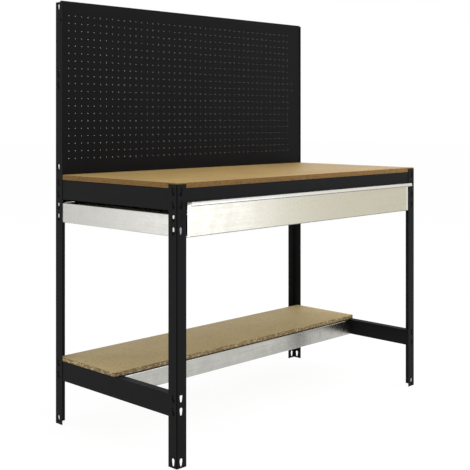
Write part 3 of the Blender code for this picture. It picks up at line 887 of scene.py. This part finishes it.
@dataclass
class Board:
    """Pressed wood board with eased edges, in its node's own place."""

    name: str
    node: str
    slot: str
    face: Material
    edge: Material
    ease: float = 0.8 * MM
    ease_steps: int = 3
    ragged: float = 0.0
    ragged_step: float = 6 * MM

    def build(self) -> Piece:
        """Make the board.

        Returns:
            The finished board.
        """
        low, high = corners(self.node)
        outline = self.outline(low, high)
        bend = quarter_bend(self.ease, self.ease_steps)
        rings = [(inset, high.z - drop) for inset, drop in bend]
        rings += [(inset, low.z + drop) for inset, drop in reversed(bend)]
        work = bmesh.new()
        loops = [
            [work.verts.new((x - nx * inset, y - ny * inset, z)) for x, y, nx, ny in outline]
            for inset, z in rings
        ]
        work.faces.new(loops[0])
        work.faces.new(list(reversed(loops[-1])))
        count = len(outline)
        for upper, lower in zip(loops, loops[1:]):
            for index in range(count):
                after = (index + 1) % count
                work.faces.new((lower[index], lower[after], upper[after], upper[index]))
        bmesh.ops.recalc_face_normals(work, faces=work.faces)
        # Faces within about 45 degrees of level belong to the sanded sides.
        for face in work.faces:
            face.material_index = 0 if abs(face.normal.z) > 0.7 else 1
        piece = piece_of(work, self.name, [self.face, self.edge])
        return hand_in(piece, "frame", self.slot, self.node)

    def outline(self, low: Vector, high: Vector) -> list[tuple[float, float, float, float]]:
        """Walk round the board's edge.

        Args:
            low: the board's lowest corner.
            high: the board's highest corner.

        Returns:
            Place and outward direction of each point, counted from the lowest corner.
        """
        ends = [low.xy, Vector((high.x, low.y)), high.xy, Vector((low.x, high.y))]
        diagonals = ((-1.0, -1.0), (1.0, -1.0), (1.0, 1.0), (-1.0, 1.0))
        points = []
        for index, here in enumerate(ends):
            way = ends[(index + 1) % 4] - here
            outward = Vector((way.y, -way.x)).normalized()
            points.append((*here, *diagonals[index]))
            steps = round(way.length / self.ragged_step) if self.ragged else 1
            for step in range(1, steps):
                wave = math.sin(step * GOLDEN_ANGLE + index)
                bite = self.ragged * (0.5 + 0.5 * wave) ** 3
                points.append((*(here + way * (step / steps) - outward * bite), *outward))
        return points


def add_plate(
    work: bmesh.types.BMesh, low: Vector, high: Vector, ease: float, finish: int = 0,
) -> None:
    """Add a flat plate with eased edges between two corners.

    Args:
        work: mesh that gets the plate.
        low: the plate's lowest corner.
        high: the plate's highest corner.
        ease: how far its edges are taken back.
        finish: number of its material in the mesh.
    """
    ends = bmesh.ops.create_cube(work, size=1.0)["verts"]
    for end in ends:
        end.co = low + (end.co + Vector((0.5, 0.5, 0.5))) * (high - low)
    for face in {face for end in ends for face in end.link_faces}:
        face.material_index = finish
    edges = {edge for end in ends for edge in end.link_edges}
    bmesh.ops.bevel(
        work, geom=list(edges), offset=ease, segments=2, profile=0.5, affect="EDGES",
        material=finish,
    )


def rounded_path(
    line: list[tuple[float, float]], radius: float, steps: int,
) -> list[tuple[float, float]]:
    """Round the inner corners of a line.

    Args:
        line: the line's corners.
        radius: bend radius.
        steps: number of steps in each bend.

    Returns:
        The line with its bends.
    """
    path = [line[0]]
    for before, here, after in zip(line, line[1:], line[2:]):
        corner = Vector(here)
        start = (Vector(before) - corner).normalized()
        end = (Vector(after) - corner).normalized()
        half = start.angle(end) / 2
        inward = (start + end).normalized() * (radius / math.sin(half))
        first = start * (radius / math.tan(half)) - inward
        last = end * (radius / math.tan(half)) - inward
        for step in range(steps + 1):
            bent = first.slerp(last, step / steps) * radius
            path.append(tuple(corner + inward + bent))
    path.append(line[-1])
    return path


@dataclass
class DrawerFront:
    """Drawer front: one folded sheet with a lip turned down and a lower return."""

    finishes: Finishes
    lip_reach: float = 20 * MM
    lip_drop: float = 12 * MM
    hem_width: float = 9 * MM
    hem_rise: float = 0.7 * MM
    lip_lean: float = 2.2 * MM
    lip_curl: float = 2.5 * MM
    bend_radius: float = 1.6 * MM
    bend_steps: int = 5
    sheet: float = 1 * MM

    def build(self) -> Piece:
        """Make the drawer front.

        Returns:
            The finished front.
        """
        low, high = corners("drawer_front")
        face = low.y + self.lip_reach
        inner = face + self.sheet
        foot = low.z + self.sheet
        path = rounded_path([
            (high.y, foot),
            (inner, foot),
            (inner, high.z),
            (low.y + self.lip_lean, high.z),
            (low.y, high.z - self.lip_drop + self.lip_curl),
            (low.y + self.lip_curl, high.z - self.lip_drop),
        ], self.bend_radius, self.bend_steps)
        work = bmesh.new()
        left, right = (
            [work.verts.new((x, y, z)) for y, z in path] for x in (low.x, high.x)
        )
        for index in range(len(path) - 1):
            work.faces.new((left[index], left[index + 1], right[index + 1], right[index]))
        # Painted highlight: the lip gets the paler finish, number 1.
        for strip in work.faces:
            middle = strip.calc_center_median()
            strip.material_index = int(middle.y < face - self.bend_radius)
            # Painted shade: the lip's curl and the lower bend get the darker finish, number 2.
            curled = strip.material_index and middle.z < high.z - self.lip_drop + self.lip_curl
            if curled or middle.z < foot + self.bend_radius:
                strip.material_index = 2
        piece = piece_of(work, "folded_drawer_front", [
            self.finishes.galvanised_front, self.finishes.galvanised_painted_highlight,
            self.finishes.galvanised_painted_shade,
        ], self.sheet)
        self.add_hems(piece.data, low, high)
        return hand_in(piece, "drawer", "galvanised_sheet", "drawer_front")

    def add_hems(self, mesh: Mesh, low: Vector, high: Vector) -> None:
        """Add the flattened hem at each end of the front, in the paler finish that paints a highlight
        on it.

        Args:
            mesh: the folded front.
            low: the front's lowest corner.
            high: the front's highest corner.
        """
        face = low.y + self.lip_reach
        work = bmesh.new()
        work.from_mesh(mesh)
        for start in (low.x, high.x - self.hem_width):
            add_plate(
                work,
                Vector((start, face - self.hem_rise, low.z + self.bend_radius)),
                Vector((
                    start + self.hem_width, face + self.sheet / 2, high.z - self.bend_radius,
                )),
                self.hem_rise / 2, 1,
            )
        work.to_mesh(mesh)
        work.free()


def both_sides(low: Vector, high: Vector) -> list[Box]:
    """Give a plate on the right and its mirror image on the left.

    Args:
        low: lowest corner of the right plate.
        high: highest corner of the right plate.

    Returns:
        Both plates' corners.
    """
    return [
        (low, high),
        (Vector((-high.x, low.y, low.z)), Vector((-low.x, high.y, high.z))),
    ]


@dataclass
class PlateSet:
    """Small flat plates of one finish, made as one piece; each kind says where they lie."""

    material: Material
    name: str
    body: str = "frame"
    slot: str = "galvanised_sheet"
    ease: float = 0.3 * MM

    def boxes(self) -> list[Box]:
        """Give the lowest and highest corner of each plate."""
        raise NotImplementedError

    def build(self) -> Piece:
        """Make the plates.

        Returns:
            The finished piece.
        """
        work = bmesh.new()
        for low, high in self.boxes():
            add_plate(work, low, high, self.ease)
        piece = piece_of(work, self.name, [self.material])
        return hand_in(piece, self.body, self.slot)


@dataclass
class DrawerEars(PlateSet):
    """Two small sheet ears that close the drawer's back above the guides."""

    name: str = "drawer_back_ears"
    body: str = "drawer"
    outer_reach: float = 598 * MM
    inner_reach: float = 549 * MM
    ledge_play: float = 1 * MM
    sheet: float = 1 * MM

    def boxes(self) -> list[Box]:
        """Give both ears' corners.

        Returns:
            Lowest and highest corner of each.
        """
        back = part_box("drawer_back")[1]
        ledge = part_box("drawer_guide_left")[1][2]
        return both_sides(
            Vector((self.inner_reach, back[1] - self.sheet, ledge + self.ledge_play)),
            Vector((self.outer_reach, back[1], back[2])),
        )


@dataclass
class GuideTabs(PlateSet):
    """End tabs that are folded up from the guides' lower ledges behind the front posts."""

    name: str = "guide_end_tabs"
    outer_reach: float = 599.5 * MM
    inner_reach: float = 576 * MM
    ledge_sheet: float = 1.2 * MM
    tab_height: float = 34 * MM

    def boxes(self) -> list[Box]:
        """Give both tabs' corners.

        Returns:
            Lowest and highest corner of each.
        """
        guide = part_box("drawer_guide_left")[0]
        base = guide[2] + self.ledge_sheet / 2
        return both_sides(
            Vector((self.inner_reach, guide[1], base)),
            Vector((self.outer_reach, guide[1] + self.ledge_sheet, base + self.tab_height)),
        )


@dataclass
class SlotShadePlates(PlateSet):
    """Dark coated plates in the lower side beams' slots over the ties' tongues: painted shade."""

    name: str = "tie_slot_shade_plates"
    slot: str = "black_powder_coat"
    ease: float = 0.1 * MM
    setback: float = 11 * MM
    first_rise: float = 10 * MM
    pitch: float = 31 * MM
    width: float = 3.7 * MM
    height: float = 8.7 * MM
    depth: float = 0.35 * MM
    sunk: float = 0.45 * MM

    def boxes(self) -> list[Box]:
        """Give the corners of all caps.

        Returns:
            Lowest and highest corner of each.
        """
        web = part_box("shelf_side_beam_right")[1][0] - self.sunk
        front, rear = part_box("shelf_tie_front")[0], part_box("shelf_tie_rear")[1]
        half = Vector((self.depth, self.width, self.height)) / 2
        found = []
        for y in (front[1] + self.setback, rear[1] - self.setback):
            for rise in (self.first_rise, self.first_rise + self.pitch):
                middle = Vector((web - self.depth / 2, y, front[2] + rise))
                found += both_sides(middle - half, middle + half)
        return found


@dataclass
class KeyholeShadePlates(PlateSet):
    """Dark plates sunk into those keyholes of the posts behind which the bench stays dark: painted
    shade.

    Each of the spots is a front post, 1 for the right one, and a row below the top, from 0.
    Those at the board are the top keyholes of all posts, above the worktop's lower face.
    """

    name: str = "keyhole_shade_plates"
    slot: str = "black_rivet"
    ease: float = 0.1 * MM
    at_board: bool = True
    spots: tuple[tuple[int, int], ...] = ((1, 2), (1, 3))
    setback: float = 16.5 * MM
    pitch: float = 38 * MM
    beam_drop: float = 8.8 * MM
    board_lap: float = 1 * MM
    width: float = 11.6 * MM
    height: float = 23 * MM
    depth: float = 0.35 * MM
    sunk: float = 0.9 * MM

    def boxes(self) -> list[Box]:
        """Give the corners of all caps.

        Returns:
            Lowest and highest corner of each.
        """
        top_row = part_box("top_front_beam")[1][2] - self.beam_drop
        across, layer = BENCH_SIDE - self.setback, self.sunk + self.depth / 2
        flange = Vector((self.width, self.depth, self.height)) / 2
        found = []
        for hand, row in self.spots:
            middle = Vector((hand * across, BENCH_FRONT + layer, top_row - row * self.pitch))
            found.append((middle - flange, middle + flange))
        if not self.at_board:
            return found
        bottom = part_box("worktop_board")[0][2] - self.board_lap
        top = top_row + self.height / 2
        flange.z = (top - bottom) / 2
        web = Vector((flange.y, flange.x, flange.z))
        places = ((across, layer, flange), (BENCH_SIDE - layer, self.setback, web))
        for y, inward in ((BENCH_FRONT, 1), (BENCH_BACK, -1)):
            for x, way_in, half in places:
                middle = Vector((x, y + inward * way_in, (top + bottom) / 2))
                found += both_sides(middle - half, middle + half)
        return found


@dataclass
class SteelParts:
    """Solids of the folded steel parts, and of the fasteners that their pieces replace."""

    finishes: Finishes

    def dress(self) -> None:
        """Give each part the first finish that its name calls for."""
        choices = (
            (("rivet", "screw"), self.finishes.black_rivet),
            (("post", "beam", "bracket"), self.finishes.coat),
            (("drawer_guide",), self.finishes.galvanised_side),
            (("shelf_tie", "drawer_tray", "drawer_back"), self.finishes.galvanised),
        )
        for name, piece in sorted(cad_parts.items()):
            for words, material in choices:
                if any(word in name for word in words):
                    piece.data.materials.clear()
                    piece.data.materials.append(material)
                    log.info("%s: %s", name, material.name)
                    break


@dataclass
class Lamp:
    """One soft lamp of the studio."""

    name: str
    place: Triple
    aim: Triple
    size: tuple[float, float]
    power: float
    colour: str = "#ffffff"
    diffuse: bool = True
    gloss: bool = True

    def build(self) -> None:
        """Hang the lamp and aim it."""
        data = bpy.data.lights.new(self.name, "AREA")
        data.shape = "RECTANGLE"
        data.size, data.size_y = self.size
        data.energy = self.power
        data.color = linear(self.colour)[:3]
        lamp = plain_object(self.name, data)
        lamp.location = self.place
        way = Vector(self.aim) - Vector(self.place)
        lamp.rotation_euler = way.to_track_quat("-Z", "Y").to_euler()
        lamp.visible_camera = False
        lamp.visible_diffuse = self.diffuse
        lamp.visible_glossy = self.gloss


@dataclass
class Studio:
    """Plain pale floor, white surroundings, soft lamps and the camera."""

    floor_size: float = 60.0
    floor_colour: str = "#f4f4f4"
    floor_glow: float = 0.88
    floor_level: float = 1.06
    ambient: float = 0.55
    camera_place: Triple = (-2.42625, -2.30727, 1.01255)
    camera_turn: float = -45.622
    camera_lens: float = 72.23
    camera_drop: float = -0.2496

    def build(self) -> None:
        """Make the whole studio."""
        self.make_floor()
        self.make_world()
        self.make_lamps()
        self.make_camera()

    def seen_directly(self, tree: Tree) -> Node:
        """Give 1 for what the camera, a gloss or a clear pane sees.

        Args:
            tree: tree that gets the nodes.

        Returns:
            The node with the share.
        """
        path = add_node(tree, "ShaderNodeLightPath")
        share = path.outputs["Is Camera Ray"]
        for ray in ("Is Glossy Ray", "Is Transmission Ray"):
            share = add_node(tree, "ShaderNodeMath", {
                0: share, 1: path.outputs[ray],
            }, operation="MAXIMUM")
        return share

    def make_floor(self) -> None:
        """Lay the floor, white where it is seen and with the bench's soft shadow."""
        mesh = bpy.data.meshes.new("floor")
        half = self.floor_size / 2
        mesh.from_pydata(
            [(-half, -half, 0.0), (half, -half, 0.0), (half, half, 0.0), (-half, half, 0.0)],
            [], [(0, 1, 2, 3)],
        )
        floor = plain_object("floor", mesh)
        material, tree = blank_material("floor_matt_white")
        matt = add_node(tree, "ShaderNodeBsdfDiffuse", {"Color": linear(self.floor_colour)})
        glow = add_node(tree, "ShaderNodeEmission", {
            "Color": linear("#ffffff"), "Strength": self.floor_level,
        })
        share = add_node(tree, "ShaderNodeMath", {
            0: self.seen_directly(tree), 1: self.floor_glow,
        }, operation="MULTIPLY")
        mixed = add_node(tree, "ShaderNodeMixShader", {0: share, 1: matt, 2: glow})
        add_node(tree, "ShaderNodeOutputMaterial", {"Surface": mixed})
        mesh.materials.append(material)

    def make_world(self) -> None:
        """Make the surroundings: soft light, and white where they are seen."""
        world = bpy.data.worlds.new("studio")
        world.use_nodes = True
        tree = world.node_tree
        tree.nodes.clear()
        soft, white = (
            add_node(tree, "ShaderNodeBackground", {
                "Color": linear("#ffffff"), "Strength": strength,
            })
            for strength in (self.ambient, 1.0)
        )
        mixed = add_node(tree, "ShaderNodeMixShader", {
            0: self.seen_directly(tree), 1: soft, 2: white,
        })
        add_node(tree, "ShaderNodeOutputWorld", {"Surface": mixed})
        bpy.context.scene.world = world

    def make_lamps(self) -> None:
        """Hang the soft lamps, and the two cards that only the sheets' gloss sees."""
        for lamp in (
            Lamp(
                "lamp_over", place=(0.2, -0.8, 3.4), aim=(0.1, 0.0, 0.7),
                size=(2.6, 2.6), power=45.0,
            ),
            Lamp(
                "lamp_front_right", place=(2.1, -1.35, 1.0), aim=(0.5, 0.0, 0.75),
                size=(1.2, 1.6), power=18.0, gloss=False,
            ),
            Lamp(
                "lamp_left", place=(-3.2, 0.6, 1.2), aim=(-0.4, 0.0, 0.7),
                size=(1.4, 1.8), power=11.0,
            ),
            Lamp(
                "card_front", place=(0.7, -1.8, 0.62), aim=(-0.48, -0.3, 0.72),
                size=(0.88, 1.1), power=6.5, colour="#d5ddff", diffuse=False,
            ),
            Lamp(
                "card_left", place=(-2.1, 1.15, 0.55), aim=(-0.6, -0.25, 0.7),
                size=(0.6, 1.0), power=1.6, diffuse=False,
            ),
        ):
            lamp.build()

    def make_camera(self) -> None:
        """Place the camera."""
        data = bpy.data.cameras.new("camera")
        data.lens = self.camera_lens
        data.sensor_width = 36.0
        data.sensor_fit = "HORIZONTAL"
        data.shift_y = self.camera_drop
        data.clip_start = 0.05
        data.clip_end = 200.0
        camera = plain_object("camera", data)
        camera.location = self.camera_place
        camera.rotation_euler = (math.pi / 2, 0.0, math.radians(self.camera_turn))
        bpy.context.scene.camera = camera
        bpy.context.scene.view_settings.view_transform = "Standard"


def main() -> None:
    """Build the bench's visible pieces in order and report each one."""
    logging.basicConfig(level=logging.INFO, format="%(name)s %(message)s")
    Studio().build()
    finishes = Finishes()
    SteelParts(finishes).dress()
    fasteners = fastener_tree()
    for part in (
        FastenerSet(Fixing.BEAM_RIVET, finishes.black_rivet, fasteners),
        FastenerSet(Fixing.GUIDE_RIVET, finishes.black_rivet, fasteners),
        FastenerSet(
            Fixing.PANEL_SCREW, finishes.black_rivet, fasteners, head_radius=4 * MM,
            head_height=1.6 * MM, shank_radius=2 * MM, tail_radius=2 * MM,
            tail_height=0.8 * MM, squat=False,
        ),
        PerforatedPanel(finishes.panel_coat, perforation_tree()),
        Board(
            "eased_worktop", "worktop_board", "fibreboard",
            finishes.board_face, finishes.board_edge,
        ),
        Board(
            "ragged_shelf", "shelf_board", "chipboard", finishes.chip_face,
            finishes.chip_edge, ease=0.5 * MM, ease_steps=2, ragged=0.5 * MM,
        ),
        DrawerFront(finishes),
        DrawerEars(finishes.galvanised),
        # The guides' end tabs in the darker finish: painted shade.
        GuideTabs(finishes.galvanised_painted_shade),
        # Dark plates over the tie slots: painted shade.
        SlotShadePlates(finishes.coat),
        # Dark plates in the keyholes: painted shade.
        KeyholeShadePlates(finishes.black_rivet),
        KeyholeShadePlates(
            finishes.coat, "keyhole_shade_plate_left", slot="black_powder_coat", at_board=False,
            spots=((-1, 2),),
        ),
    ):
        piece = part.build()
        log.info("%s: %d faces", piece.name, len(piece.data.polygons))


if __name__ == "__main__":
    main()
